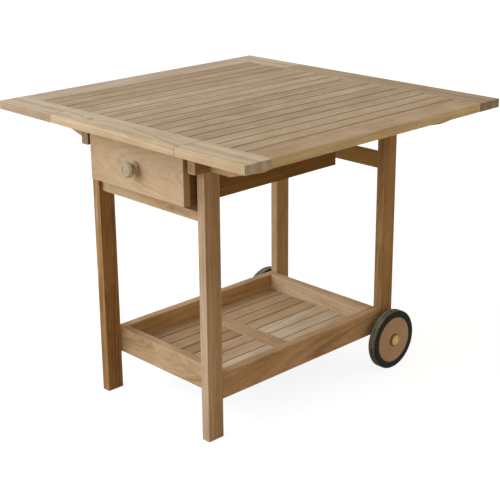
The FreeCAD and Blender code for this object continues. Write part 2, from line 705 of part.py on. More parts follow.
# ---------------------------------------------------------------- leaf hinges
# Three butt hinges under each leaf line, with the pin just below the boards. The centre panel's
# wings carry the two end barrels and the leaf's wings carry the middle one.
hinge_height = "(dims.top_height - dims.top_thick - dims.hinge_lift)"
barrel_long = "(dims.leaf_hinge_long / 3)"
wing_reach = "(dims.hinge_root + dims.hinge_wing / 2)"


def leaf_wings(label, place, pin_line, end_barrels):
    """Three hinge wings that point to -X from a pin line at x = pin_line in the body."""
    body = new_body(label, place, "0", hinge_height)
    wing_middle = "%s - %s" % (pin_line, wing_reach)
    wing_height = "dims.hinge_lift - dims.hinge_plate / 2"
    plate = rectangle(body, "XZ_Plane", "plate", "dims.hinge_wing", "dims.hinge_plate", wing_middle, wing_height)
    pad(body, plate, "dims.leaf_hinge_long", lift="dims.leaf_hinge_station")
    stations = ("-1", "1") if end_barrels else ("0",)
    for station in stations:
        shift = "dims.leaf_hinge_station + %s * (%s + dims.barrel_gap)" % (station, barrel_long)
        long = "%s - dims.barrel_gap" % barrel_long
        tab = rectangle(
            body, "XZ_Plane", "tab", "dims.hinge_root + 0.2", "dims.hinge_plate",
            "%s - (dims.hinge_root + 0.2) / 2" % pin_line, wing_height)
        pad(body, tab, long, lift=shift)
        ring = circle(body, "XZ_Plane", "barrel", "dims.hinge_barrel", pin_line)
        pad(body, ring, long, lift=shift)
    bore = circle(body, "XZ_Plane", "pin_bore", "dims.hinge_pin + dims.hinge_pin_play", pin_line)
    pocket(body, bore, "dims.leaf_hinge_long + 2", both_ways=True, lift="dims.leaf_hinge_station")
    for station in ("-1", "1"):
        hole = circle(
            body, "XY_Plane", "hole", "dims.hole_round", wing_middle,
            "-dims.leaf_hinge_station + %s * dims.leaf_hinge_long * 0.3" % station)
        pocket(body, hole, "12", both_ways=True)
    repeat(body, None, plate, "N_Axis", "dims.leaf_hinge_station", "3", whole=True, back=True)
    return body


wings = leaf_wings("leaf_hinge_wings_frame", "0", "dims.leaf_line", True)
mirror(wings, "YZ_Plane")
wings = leaf_wings("leaf_hinge_wings_right", "dims.leaf_line", "0", False)
turn(wings, Z_AXIS, 180)
leaf_wings("leaf_hinge_wings_left", "-dims.leaf_line", "0", False)

# ---------------------------------------------------------------- bracket hinges
# Each bracket swings on a small upright butt hinge in the corner between its inner face and the
# top rail. The pin stands clear of both faces by the hinge's lift.
pin_x = "(dims.leg_outside + dims.hinge_lift)"
pin_y = "(dims.bracket_station - dims.bracket_thick / 2 - dims.hinge_lift)"
pin_z = "(%s + dims.rail_tall / 2)" % rail_low
upright_barrel = "(dims.bracket_hinge_long / 3)"

wings = new_body("bracket_hinge_wings_frame", "0", "0", pin_z)
plate_x = "dims.leg_outside + dims.hinge_plate / 2"
plate_y = "-(%s - dims.hinge_root - dims.bracket_hinge_wing / 2)" % pin_y
plate = rectangle(wings, "XY_Plane", "plate", "dims.hinge_plate", "dims.bracket_hinge_wing", plate_x, plate_y)
pad(wings, plate, "dims.bracket_hinge_long")
for station in ("-1", "1"):
    shift = "%s * (%s + dims.barrel_gap)" % (station, upright_barrel)
    long = "%s - dims.barrel_gap" % upright_barrel
    tab = rectangle(
        wings, "XY_Plane", "tab", "dims.hinge_plate", "dims.hinge_root + 0.2", plate_x,
        "-(%s - (dims.hinge_root + 0.2) / 2)" % pin_y)
    pad(wings, tab, long, lift=shift)
    ring = circle(wings, "XY_Plane", "barrel", "dims.hinge_barrel", pin_x, "-" + pin_y)
    pad(wings, ring, long, lift=shift)
bore = circle(wings, "XY_Plane", "pin_bore", "dims.hinge_pin + dims.hinge_pin_play", pin_x, "-" + pin_y)
pocket(wings, bore, "dims.bracket_hinge_long + 2", both_ways=True)
for station in ("-1", "1"):
    hole = circle(
        wings, "YZ_Plane", "hole", "dims.hole_round", plate_y,
        "%s * dims.bracket_hinge_long * 0.3" % station)
    pocket(wings, hole, "6", both_ways=True, lift="dims.leg_outside")
mirror(wings, "XZ_Plane")
mirror(wings, "YZ_Plane")

# The pins of all the hinges: three along each leaf line and an upright one for each bracket.
pins = new_body("hinge_pins", "0", "0", hinge_height)
section = circle(pins, "XZ_Plane", "section", "dims.hinge_pin", "dims.leaf_line")
pad(pins, section, "dims.leaf_hinge_long", lift="dims.leaf_hinge_station")
repeat(pins, None, section, "N_Axis", "dims.leaf_hinge_station", "3", whole=True, back=True)
for side in ("-", ""):
    section = circle(pins, "XY_Plane", "upright", "dims.hinge_pin", pin_x, side + pin_y)
    pad(pins, section, "dims.bracket_hinge_long", lift="%s - %s" % (pin_z, hinge_height))
mirror(pins, "YZ_Plane")


def bolt_profile(body, role, name, station, foot, sign):
    """Half the section of a countersunk fastener that stands at station and points up from foot."""
    head = "dims.hinge_plate"
    return polygon(body, role, name, [
        (station, foot),
        ("%s + dims.bolt_head" % station, foot),
        ("%s + dims.bolt_head" % station, "%s + %d * (%s - 0.2)" % (foot, sign, head)),
        ("%s + dims.bolt_shank" % station, "%s + %d * (%s + 0.2)" % (foot, sign, head)),
        ("%s + dims.bolt_shank" % station, "%s + %d * (dims.bolt_long - 2)" % (foot, sign)),
        (station, "%s + %d * dims.bolt_long" % (foot, sign)),
    ])


def turned_about(body, role, sketch, station, lift=None):
    """Turn a half section about the upright line at its own station."""
    line = sketch.addGeometry(Part.LineSegment(vector(0, -5, 0), vector(0, 5, 0)), True)
    sketch.addConstraint(Sketcher.Constraint("Vertical", line))
    named(sketch, Sketcher.Constraint("DistanceX", -1, 1, line, 1, 1.0), "turning_line", station)
    if lift is not None:
        sketch.setExpression("AttachmentOffset.Base.z", lift)
    return revolve(body, sketch, "Axis0")


def leaf_bolts(label, place, pin_line):
    """Two fasteners for each of three hinge wings, up into the boards."""
    body = new_body(label, place, "0", hinge_height)
    station = "%s - %s" % (pin_line, wing_reach)
    foot = "dims.hinge_lift - dims.hinge_plate"
    for number, spot in enumerate(("-1", "1")):
        half_section = bolt_profile(body, "XZ_Plane", "fastener", station, foot, 1)
        lift = "dims.leaf_hinge_station + %s * dims.leaf_hinge_long * 0.3" % spot
        turned_about(body, "XZ_Plane", half_section, station, lift)
    repeat(body, None, half_section, "N_Axis", "dims.leaf_hinge_station", "3", whole=True, back=True)
    return body


bolts = leaf_bolts("leaf_hinge_screws_frame", "0", "dims.leaf_line")
mirror(bolts, "YZ_Plane")
bolts = leaf_bolts("leaf_hinge_screws_right", "dims.leaf_line", "0")
turn(bolts, Z_AXIS, 180)
leaf_bolts("leaf_hinge_screws_left", "-dims.leaf_line", "0")


def bracket_wing(label, x_side, y_side):
    """The moving wing of a bracket hinge, with its own pair of fasteners; the pin is at the origin."""
    body = new_body(label, "%d * %s" % (x_side, pin_x), "%d * %s" % (y_side, pin_y), pin_z)
    middle_x = "dims.hinge_root + dims.bracket_hinge_wing / 2"
    middle_y = "-(dims.hinge_lift - dims.hinge_plate / 2)"
    plate = rectangle(
        body, "XY_Plane", "plate", "dims.bracket_hinge_wing", "dims.hinge_plate", middle_x, middle_y)
    pad(body, plate, "dims.bracket_hinge_long")
    long = "%s - dims.barrel_gap" % upright_barrel
    tab = rectangle(
        body, "XY_Plane", "tab", "dims.hinge_root + 0.2", "dims.hinge_plate",
        "(dims.hinge_root + 0.2) / 2", middle_y)
    pad(body, tab, long)
    pad(body, circle(body, "XY_Plane", "barrel", "dims.hinge_barrel"), long)
    bore = circle(body, "XY_Plane", "pin_bore", "dims.hinge_pin + dims.hinge_pin_play")
    pocket(body, bore, "dims.bracket_hinge_long + 2", both_ways=True)
    for station in ("-1", "1"):
        hole = circle(
            body, "XZ_Plane", "hole", "dims.hole_round", middle_x,
            "%s * dims.bracket_hinge_long * 0.3" % station)
        pocket(body, hole, "8", both_ways=True)
    for station in ("-1", "1"):
        half_section = bolt_profile(
            body, "XY_Plane", "fastener", middle_x, "dims.hinge_plate - dims.hinge_lift", -1)
        turned_about(
            body, "XY_Plane", half_section, middle_x,
            "%s * dims.bracket_hinge_long * 0.3" % station)
    if x_side > 0 and y_side > 0:
        turn(body, X_AXIS, 180)
    if x_side < 0 and y_side < 0:
        turn(body, Y_AXIS, 180)
    if x_side < 0 and y_side > 0:
        turn(body, Z_AXIS, 180)
    return body


for end, y_side in (("front", -1), ("back", 1)):
    for hand, x_side in (("left", -1), ("right", 1)):
        bracket_wing("%s_%s_bracket_hinge_wing" % (end, hand), x_side, y_side)

bolts = new_body("bracket_hinge_screws_frame", "0", "0", pin_z)
for station in ("-1", "1"):
    half_section = polygon(bolts, "XZ_Plane", "fastener", [
        ("dims.leg_outside + dims.hinge_plate", "%s * dims.bracket_hinge_long * 0.3" % station),
        ("dims.leg_outside + dims.hinge_plate",
         "%s * dims.bracket_hinge_long * 0.3 + dims.bolt_head" % station),
        ("dims.leg_outside + 0.2", "%s * dims.bracket_hinge_long * 0.3 + dims.bolt_head" % station),
        ("dims.leg_outside - 0.2", "%s * dims.bracket_hinge_long * 0.3 + dims.bolt_shank" % station),
        ("dims.leg_outside + dims.hinge_plate - dims.bolt_long + 2",
         "%s * dims.bracket_hinge_long * 0.3 + dims.bolt_shank" % station),
        ("dims.leg_outside + dims.hinge_plate - dims.bolt_long",
         "%s * dims.bracket_hinge_long * 0.3" % station),
    ])
    line = half_section.addGeometry(Part.LineSegment(vector(-5, 0, 0), vector(5, 0, 0)), True)
    half_section.addConstraint(Sketcher.Constraint("Horizontal", line))
    named(
        half_section, Sketcher.Constraint("DistanceY", -1, 1, line, 1, 1.0), "turning_line",
        "%s * dims.bracket_hinge_long * 0.3" % station)
    half_section.setExpression(
        "AttachmentOffset.Base.z", "%s - dims.hinge_root - dims.bracket_hinge_wing / 2" % pin_y)
    revolve(bolts, half_section, "Axis0")
mirror(bolts, "XZ_Plane")
mirror(bolts, "YZ_Plane")

# ---------------------------------------------------------------- checks and export
doc.recompute()
for thing in doc.Objects:
    if "Invalid" in thing.State or "Error" in thing.State:
        raise RuntimeError("%s failed: %s" % (thing.Label, thing.State))
for part in parts:
    if part.Shape.isNull() or not part.Shape.isValid():
        raise RuntimeError("%s has no sound shape" % part.Label)

os.makedirs("parts", exist_ok=True)
for part in parts:
    part.Shape.exportStep(os.path.join("parts", part.Label + ".step"))
print("%d pieces, %d solids" % (len(parts), sum(len(part.Shape.Solids) for part in parts)))
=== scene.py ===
"""The folding teak serving table, dressed for its picture.

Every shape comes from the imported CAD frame. This script gives each board, wheel and fitting its finish,
then sets up the floor, the lamps and the camera. Lengths are in metres, in the frame's own axes.
"""
import math

import bpy
from mathutils import Matrix, Vector


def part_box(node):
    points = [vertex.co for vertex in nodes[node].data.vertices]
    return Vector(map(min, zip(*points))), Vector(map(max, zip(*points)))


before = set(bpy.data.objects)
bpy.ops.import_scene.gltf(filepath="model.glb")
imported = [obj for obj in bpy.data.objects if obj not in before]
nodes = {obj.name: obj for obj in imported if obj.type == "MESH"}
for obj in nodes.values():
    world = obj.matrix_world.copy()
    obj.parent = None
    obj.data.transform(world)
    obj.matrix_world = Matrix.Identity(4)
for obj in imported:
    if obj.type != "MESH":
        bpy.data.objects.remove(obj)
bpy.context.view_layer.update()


# ---------------------------------------------------------------------------------------------- legs
# Four posts of planed, unfinished teak stand at the corners, their long edges just eased by hand.
# Each is ripped from its own plank, so each has its own tone and its own place in the log.
# The front pair reaches the floor and the back pair stops short of it, just below the axle.

BROWN = (0.310, 0.180, 0.075)
ROSE = (0.452, 0.345, 0.245)
SAND = (0.470, 0.335, 0.185)
RUSSET = (0.400, 0.265, 0.133)

# how fine each pattern in the wood is: cells per metre across the grain, then along it
WANDER = (2.5, 1.7)
RIPPLES = (40.0, 5.0)
STREAKS = (95.0, 1.8)
FIBRES = (330.0, 5.0)
PORES = (1100.0, 40.0)
CLOUDS = (12.0, 3.0)
MOTTLE = (10.0, 8.0)
SCUFFS = (260.0, 11.0)

# growth rings and broader bands of colour, in cells per metre outward from the pith
RINGS = 210.0
BANDS = 45.0

# how far the trunk wanders and how far its rings ripple
WANDER_REACH = (0.055, 0.055, 0.055)
RIPPLE_REACH = 0.0025

# a knot is long along the grain, dark at its heart and pushes the rings outward, all in its own size
KNOT_SHAPE = (1.0, 0.0, 0.55)
KNOT_HEART = (0.3, 1.1)
KNOT_PUSH = 1.4
NO_KNOT = ((9.0, 9.0, 9.0), 0.01)

# what the palest and the deepest wood make of a board's tone, and the pale colour of scuffs and eased corners:
# rubbed by use, and on the eased corners also a painted highlight where they catch the light
PALEST = (1.19, 1.20, 1.22, 1.0)
DEEPEST = (0.72, 0.64, 0.54, 1.0)
RUBBED_AND_HIGHLIT = (0.62, 0.50, 0.36, 1.0)

# the peaks of a noise that show as pores or scuffs, and how square a face has to be to count as one
PEAKS = (0.60, 0.72)
END_OR_EDGE = (0.6, 0.9)
FLAT = (0.86, 0.97)

# how deep the colour lies: 0 is the palest wood and 1 the deepest, and a knot's heart goes past it
MEAN_DEPTH = 0.42
PORE_DEPTH = 0.4
HEART_DEPTH = 0.9
MOST_DEPTH = 1.4

# rings show most where a band is deep, and an end keeps a little of the plain wood's colour
RING_SHARE = (1.6, 0.3)
END_SHARE = 0.85

# deep wood is rougher than pale wood, and the relief of the grain is felt more than seen
GRAIN_ROUGHNESS = (0.16, 0.52)
GRAIN_RELIEF = 0.0004
PORE_RELIEF = -0.6
FIBRE_RELIEF = 0.5
RING_RELIEF = -0.25


def add_node(tree, kind, inputs=None, **settings):
    """A shader node whose inputs are plain values or are joined to other nodes' sockets."""
    node = tree.nodes.new("ShaderNode" + kind)
    for name, value in settings.items():
        setattr(node, name, value)
    for name, value in (inputs or {}).items():
        if isinstance(value, bpy.types.NodeSocket):
            tree.links.new(value, node.inputs[name])
        else:
            node.inputs[name].default_value = value
    return node


def sums(tree, operation, *values):
    """The result socket of one arithmetic step."""
    return add_node(tree, "Math", dict(enumerate(values)), operation=operation).outputs[0]


def place_sums(tree, operation, place, other):
    """The result socket of one arithmetic step on places or directions."""
    return add_node(tree, "VectorMath", {0: place, 1: other}, operation=operation).outputs[0]


def length_of(tree, offset):
    """How long an offset is."""
    return add_node(tree, "VectorMath", {0: offset}, operation="LENGTH").outputs["Value"]


def part_of(tree, place, axis):
    """One of a place's three coordinates."""
    return add_node(tree, "SeparateXYZ", {0: place}).outputs[axis]


def noise(tree, place, across, along, detail, roughness=0.5):
    """Soft noise from 0 to 1, with its cells per metre across the grain and along it."""
    scaled = place_sums(tree, "MULTIPLY", place, (across, across, along))
    wanted = {"Vector": scaled, "Scale": 1.0, "Detail": detail, "Roughness": roughness}
    return add_node(tree, "TexNoise", wanted).outputs["Fac"]


def noise_line(tree, distance, cells, detail, roughness=0.5):
    """Soft noise from 0 to 1 that changes with one distance only, with its cells per metre."""
    wanted = {"W": sums(tree, "MULTIPLY", distance, cells), "Scale": 1.0, "Detail": detail, "Roughness": roughness}
    return add_node(tree, "TexNoise", wanted, noise_dimensions="1D").outputs["Fac"]


def mixed(tree, factor, first, second, blend="MIX"):
    """The colour socket of a mix of two colours."""
    mix = add_node(tree, "Mix", {0: factor, 6: first, 7: second}, data_type="RGBA", blend_type=blend)
    return mix.outputs[2]


def tinted(tree, factor, colour, tint):
    """A colour multiplied by a tint, as far as the factor says."""
    return mixed(tree, factor, colour, mixed(tree, 1.0, colour, tint, "MULTIPLY"))


def ramp(tree, value, low, high):
    """0 below low, 1 above high and smooth between them."""
    wanted = {"Value": value, "From Min": low, "From Max": high}
    return add_node(tree, "MapRange", wanted, interpolation_type="SMOOTHSTEP").outputs[0]


def distance_from_pith(tree, place):
    """How far out in the trunk a place lies. The trunk wanders along its length and its rings ripple a little."""
    scaled = place_sums(tree, "MULTIPLY", place, (WANDER[0], WANDER[0], WANDER[1]))
    wander = add_node(tree, "TexNoise", {"Vector": scaled, "Scale": 1.0, "Detail": 1.0}).outputs["Color"]
    bend = place_sums(tree, "MULTIPLY", place_sums(tree, "SUBTRACT", wander, (0.5, 0.5, 0.5)), WANDER_REACH)
    bent = add_node(tree, "SeparateXYZ", {0: place_sums(tree, "ADD", place, bend)}).outputs
    squared = sums(tree, "MULTIPLY_ADD", bent[0], bent[0], sums(tree, "MULTIPLY", bent[1], bent[1]))
    ripple = noise(tree, place, *RIPPLES, 2.0)
    return sums(tree, "MULTIPLY_ADD", ripple, RIPPLE_REACH, sums(tree, "SQRT", squared))


def push_round_knot(tree, place, radius, knot, size):
    """The rings as they swell round a knot that runs straight through the board, and the knot's dark heart."""
    aside = place_sums(tree, "MULTIPLY", place_sums(tree, "SUBTRACT", place, knot), KNOT_SHAPE)
    aside = sums(tree, "DIVIDE", length_of(tree, aside), size)
    swell = sums(tree, "DIVIDE", size, sums(tree, "MULTIPLY_ADD", aside, aside, 1.0))
    heart = sums(tree, "SUBTRACT", 1.0, ramp(tree, aside, *KNOT_HEART))
    return sums(tree, "MULTIPLY_ADD", swell, KNOT_PUSH, radius), heart


def make_teak_grain():
    """The node group that draws teak as it is cut from a log that lies along Z."""
    tree = bpy.data.node_groups.new("teak grain", "ShaderNodeTree")
    for name, kind in (
        ("Place", "Vector"), ("Facing", "Vector"), ("Tone", "Color"), ("End tint", "Color"), ("Edge tint", "Color"),
        ("Wear and highlight", "Float"), ("Figure", "Float"), ("Knot", "Vector"), ("Knot size", "Float"),
    ):
        tree.interface.new_socket(name, in_out="INPUT", socket_type="NodeSocket" + kind)
    for name, kind in (("Colour", "Color"), ("Roughness", "Float"), ("Height", "Float")):
        tree.interface.new_socket(name, in_out="OUTPUT", socket_type="NodeSocket" + kind)
    given = tree.nodes.new("NodeGroupInput").outputs
    wanted = tree.nodes.new("NodeGroupOutput").inputs
    place = given["Place"]
    radius = distance_from_pith(tree, place)
    radius, heart = push_round_knot(tree, place, radius, given["Knot"], given["Knot size"])

    # growth rings, broader bands of colour, long streaks, fibres, open pores and a cloudy mottle
    rings = sums(tree, "SUBTRACT", noise_line(tree, radius, RINGS, 3.0, 0.6), 0.5)
    bands = noise_line(tree, radius, BANDS, 1.0)
    fibres = noise(tree, place, *FIBRES, 3.0, 0.6)
    pores = ramp(tree, noise(tree, place, *PORES, 1.0), *PEAKS)
    depth = sums(tree, "MULTIPLY", rings, sums(tree, "MULTIPLY_ADD", bands, *RING_SHARE))
    for pattern, strength in (
        (bands, 0.8),
        (noise(tree, place, *STREAKS, 2.0), 0.6),
        (fibres, 0.9),
        (noise(tree, place, *CLOUDS, 2.0), 0.6),
        (noise(tree, place, *MOTTLE, 3.0, 0.6), 1.2),
    ):
        depth = sums(tree, "MULTIPLY_ADD", sums(tree, "SUBTRACT", pattern, 0.5), strength, depth)
    depth = sums(tree, "MULTIPLY_ADD", pores, PORE_DEPTH, depth)
    depth = sums(tree, "MULTIPLY_ADD", depth, given["Figure"], MEAN_DEPTH)
    depth = sums(tree, "MULTIPLY_ADD", heart, HEART_DEPTH, depth)
    depth = sums(tree, "MINIMUM", sums(tree, "MAXIMUM", depth, 0.0), MOST_DEPTH)
    light = mixed(tree, 1.0, given["Tone"], PALEST, "MULTIPLY")
    deep = mixed(tree, 1.0, given["Tone"], DEEPEST, "MULTIPLY")
    colour = mixed(tree, depth, light, deep)

    # end grain and sawn edges take tints of their own
    facing = add_node(tree, "SeparateXYZ", {0: given["Facing"]}).outputs
    facing = [sums(tree, "ABSOLUTE", facing[axis]) for axis in range(3)]
    end = sums(tree, "MULTIPLY", ramp(tree, facing[2], *END_OR_EDGE), END_SHARE)
    colour = tinted(tree, end, colour, given["End tint"])
    colour = tinted(tree, ramp(tree, facing[0], *END_OR_EDGE), colour, given["Edge tint"])

    # eased corners are painted pale, partly rubbed by use and partly a painted highlight where they catch the
    # light, and fine scuffs run along the grain
    flat = ramp(tree, sums(tree, "MAXIMUM", facing[0], sums(tree, "MAXIMUM", facing[1], facing[2])), *FLAT)
    scuffs = ramp(tree, noise(tree, place, *SCUFFS, 2.0), *PEAKS)
    worn_and_highlit = sums(tree, "MAXIMUM", sums(tree, "SUBTRACT", 1.0, flat), scuffs)
    colour = mixed(tree, sums(tree, "MULTIPLY", worn_and_highlit, given["Wear and highlight"]), colour, RUBBED_AND_HIGHLIT)

    tree.links.new(colour, wanted["Colour"])
    tree.links.new(sums(tree, "MULTIPLY_ADD", depth, *GRAIN_ROUGHNESS), wanted["Roughness"])
    height = sums(tree, "MULTIPLY_ADD", pores, PORE_RELIEF, sums(tree, "MULTIPLY", fibres, FIBRE_RELIEF))
    tree.links.new(sums(tree, "MULTIPLY_ADD", rings, RING_RELIEF, height), wanted["Height"])
    return tree


teak_grain = make_teak_grain()

# the frame's axes, by name
AXES = {"X": Vector((1, 0, 0)), "Y": Vector((0, 1, 0)), "Z": Vector((0, 0, 1))}

# how far apart in the log the slats of one row may be cut
SLAT_SPREAD = (0.10, 0.06, 6.0)


def turn_into_log(grain, face, lean):
    """The turn that lays a board in its log: its grain along Z and its face toward Y, out by the pith's lean."""
    through, along = AXES[face], AXES[grain]
    across = through.cross(along)
    along = (along + across * lean[0] + through * lean[1]).normalized()
    across = through.cross(along).normalized()
    return Matrix((across, along.cross(across), along))


def shuffled_slats(tree, here, place, start, pitch, tones):
    """Gives each slat of a row, counted along X, its own piece of the log and its own tone."""
    from_start = sums(tree, "SUBTRACT", part_of(tree, here, 0), start)
    count = sums(tree, "FLOOR", sums(tree, "DIVIDE", from_start, pitch))
    shuffle = add_node(tree, "TexWhiteNoise", {"W": count}, noise_dimensions="1D").outputs["Color"]
    place = place_sums(tree, "ADD", place, place_sums(tree, "MULTIPLY", shuffle, SLAT_SPREAD))
    along_row = sums(tree, "DIVIDE", sums(tree, "ADD", count, 0.5), float(len(tones)))
    row = add_node(tree, "ValToRGB", {0: along_row})
    row.color_ramp.interpolation = "CONSTANT"
    stops = row.color_ramp.elements
    while len(stops) < len(tones):
        stops.new(0.5)
    for slat, tone in enumerate(tones):
        stops[slat].position = slat / len(tones)
        stops[slat].color = (*tone, 1.0)
    return place, row.outputs["Color"]


def new_material(name):
    """A new material, with its tree and its shader."""
    material = bpy.data.materials.new(name)
    material.use_nodes = True
    return material, material.node_tree, material.node_tree.nodes["Principled BSDF"]


def lay_skin(tree, surface, colour, roughness, height, strength, distance):
    """Joins a colour, a roughness and a relief to a shader."""
    bump = add_node(tree, "Bump", {"Height": height, "Strength": strength, "Distance": distance})
    tree.links.new(colour, surface.inputs["Base Color"])
    tree.links.new(roughness, surface.inputs["Roughness"])
    tree.links.new(bump.outputs[0], surface.inputs["Normal"])


# end grain as the saw leaves it, wood with no tint, and how much planed wood shines
SAWN = (0.80, 0.84, 0.86)
AS_IT_IS = (1.0, 1.0, 1.0)
PLANED_SHEEN = 0.12


def teak(node, grain, face, tone, log=(0.06, 0.11), lean=(0.0, 0.0), figure=1.0, sheen=PLANED_SHEEN,
         ends=SAWN, edges=AS_IT_IS, wear_and_highlight=0.2, knot=NO_KNOT, slats=None):
    """A board's own teak. The pith lies log across and through from the board's middle and drifts by lean
    per metre. figure is how bold its pattern is and wear_and_highlight how pale its scuffs and eased corners are,
    partly rubbed by use and partly a painted highlight. ends and edges tint the end grain and the narrow faces.
    knot is a place and a size. slats is the start, pitch and tones of a row of slats."""
    material, tree, surface = new_material(node + " teak")
    low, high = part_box(node)
    turn = turn_into_log(grain, face, lean)
    angles = turn.to_euler("XYZ")
    shift = turn @ ((low + high) / -2) + Vector((log[0], log[1], 0.0))
    here = add_node(tree, "TexCoord").outputs
    place = add_node(tree, "Mapping", {"Vector": here["Object"], "Location": shift, "Rotation": angles}).outputs[0]
    facing = add_node(tree, "Mapping", {"Vector": here["Normal"], "Rotation": angles}, vector_type="VECTOR")
    shade = (*tone, 1.0)
    if slats:
        place, shade = shuffled_slats(tree, here["Object"], place, *slats)
    knot_place, knot_size = knot
    wood = add_node(tree, "Group", {
        "Place": place, "Facing": facing.outputs[0], "Tone": shade, "End tint": (*ends, 1.0),
        "Edge tint": (*edges, 1.0), "Wear and highlight": wear_and_highlight, "Figure": figure, "Knot": turn @ Vector(knot_place) + shift,
        "Knot size": knot_size,
    }, node_tree=teak_grain).outputs
    lay_skin(tree, surface, wood["Colour"], wood["Roughness"], wood["Height"], 0.5, GRAIN_RELIEF)
    surface.inputs["Specular IOR Level"].default_value = sheen
    return material


def finish_node(node, material):
    """Gives a CAD node its material in its object's own slot."""
    nodes[node].material_slots[0].material = material


for leg, tone, log, lean, figure in (
    ("front_left_leg", BROWN, (0.02, 0.04), (0.03, 0.02), 1.6),
    ("front_right_leg", ROSE, (-0.02, 0.13), (-0.01, 0.02), 1.1),
    ("back_left_leg", SAND, (0.08, 0.05), (0.01, -0.02), 1.1),
    ("back_right_leg", RUSSET, (0.015, 0.035), (0.0, 0.05), 1.5),
):
    finish_node(leg, teak(leg, "Z", "Y", tone, log, lean, figure, wear_and_highlight=0.5))


# ------------------------------------------------------------------------------------ rails and brackets
# Two teak rails lie on the legs' top tenons and carry the tabletop. Two lighter ones tie the legs across,
# front and back, in mortises of their own. Four swinging brackets are hinged on the top rails' outer faces.

# UMBER is darker than the top rails' own wood: painted shade for their sides under the leaves
UMBER = (0.300, 0.182, 0.068)
# AMBER is darker and more saturated than BUFF: partly the wood's own tone and partly painted shade for the back
# cross rail and the drawer runners under the top
AMBER = (0.450, 0.300, 0.125)
BUFF = (0.530, 0.400, 0.255)

# the top rails' sawn ends, lifted far above the rails' dark tone: painted light on the ends, which face the light,
# over the painted shade of UMBER
RAIL_ENDS_LIFTED = (1.27, 1.56, 2.68)
RAIL_KNOT = ((0.079, -0.320, 0.549), 0.007)

for rail, log in (("top_rail_left", (0.04, 0.10)), ("top_rail_right", (-0.05, 0.09))):
    finish_node(rail, teak(rail, "Y", "X", UMBER, log, ends=RAIL_ENDS_LIFTED))
finish_node("front_cross_rail", teak("front_cross_rail", "X", "Y", BUFF, (0.03, 0.12), knot=RAIL_KNOT))
finish_node("back_cross_rail", teak("back_cross_rail", "X", "Y", AMBER, (0.06, 0.08)))
for corner in ("front_left", "front_right", "back_left", "back_right"):
    bracket = corner + "_leaf_bracket"
    finish_node(bracket, teak(bracket, "X", "Y", BUFF, (0.05, 0.07)))


# -------------------------------------------------------------------------------------------------- tray
# The tray is a box of upright teak boards: two sides tenoned between the legs and two ends between the
# sides. Its floor is two bays of slats, laid on the ledges of a wide middle rail and on a batten at each end.

TAN = (0.430, 0.310, 0.190)
STRAW = (0.480, 0.360, 0.235)
BLOND = (0.580, 0.445, 0.300)
LINEN = (0.575, 0.455, 0.320)
PALE = (0.700, 0.640, 0.530)
WHEAT = (0.518, 0.370, 0.204)
CLAY = (0.487, 0.352, 0.222)
TRAY_PITCH = 0.045

for board, grain, face, tone, log, lean in (
    ("tray_side_left", "Y", "X", WHEAT, (0.05, 0.10), (0.01, 0.02)),
    ("tray_side_right", "Y", "X", CLAY, (0.03, 0.05), (0.02, 0.09)),
    ("tray_end_front", "X", "Y", TAN, (0.02, 0.05), (0.02, -0.10)),
    ("tray_end_back", "X", "Y", BLOND, (-0.04, 0.11), (0.01, -0.02)),
):
    finish_node(board, teak(board, grain, face, tone, log, lean, 1.15))
finish_node("tray_middle_rail", teak("tray_middle_rail", "X", "Z", BUFF))
finish_node("tray_battens", teak("tray_battens", "X", "Z", TAN))
# the back bay's slats are given paler tones than the front bay's: partly the slats' own tones and partly painted
# light that lifts the shade deeper under the tabletop
for bay, tones in (
    ("tray_slats_front", (TAN, STRAW, STRAW, TAN, LINEN, LINEN, PALE, STRAW)),
    ("tray_slats_back", (LINEN, LINEN, BUFF, LINEN, PALE, PALE, PALE, PALE)),
):
    row_start = -TRAY_PITCH * len(tones) / 2
    finish_node(bay, teak(bay, "Y", "Z", TAN, figure=0.8, slats=(row_start, TRAY_PITCH, tones)))


# ------------------------------------------------------------------------------------- axle and wheels
# A plain steel rod runs through the back legs. Each wheel is a teak disc in a solid rubber tyre, held
# between a turned steel spacer and a pressed brass cap.

BISCUIT = (0.525, 0.412, 0.322)

# rubber: its colour and the dust's, where the tread turns into the sides, and how the dust lies
BLACK = (0.004, 0.0050, 0.0045, 1.0)
DUST = (0.285, 0.295, 0.240, 1.0)
TREAD_TURN = (0.35, 0.9)
DUST_SPREAD = (0.5, 1.3)
SPECKLE = (260.0, 260.0)
PATCHES = (24.0, 24.0)
RUBBER_ROUGHNESS = (0.3, 0.55)
RUBBER_RELIEF = 0.0005
RUBBER_SHEEN = 0.12

# metal: its colours bright and dull, the clouds between them, and fine scratches
POLISHED = (0.50, 0.34, 0.11, 1.0)
DARK_TARNISH_AND_REFLECTION = (0.09, 0.055, 0.020, 1.0)
PLATED = (0.62, 0.62, 0.60, 1.0)
CLOUDED = (0.42, 0.42, 0.42, 1.0)
METAL_CLOUDS = (140.0, 140.0)
CLOUD_SPREAD = (0.35, 0.7)
CLOUD_ROUGHNESS = 0.18
SCRATCHES = (1800.0, 90.0)
SCRATCH_ROUGHNESS = 0.1
SCRATCH_RELIEF = 0.0002

# the cap is bright on its crown and darkens toward where it meets the disc: partly tarnished in the join and partly
# a painted dark reflection
CAP_CROWN = 0.009
CAP_RIM = 0.0165


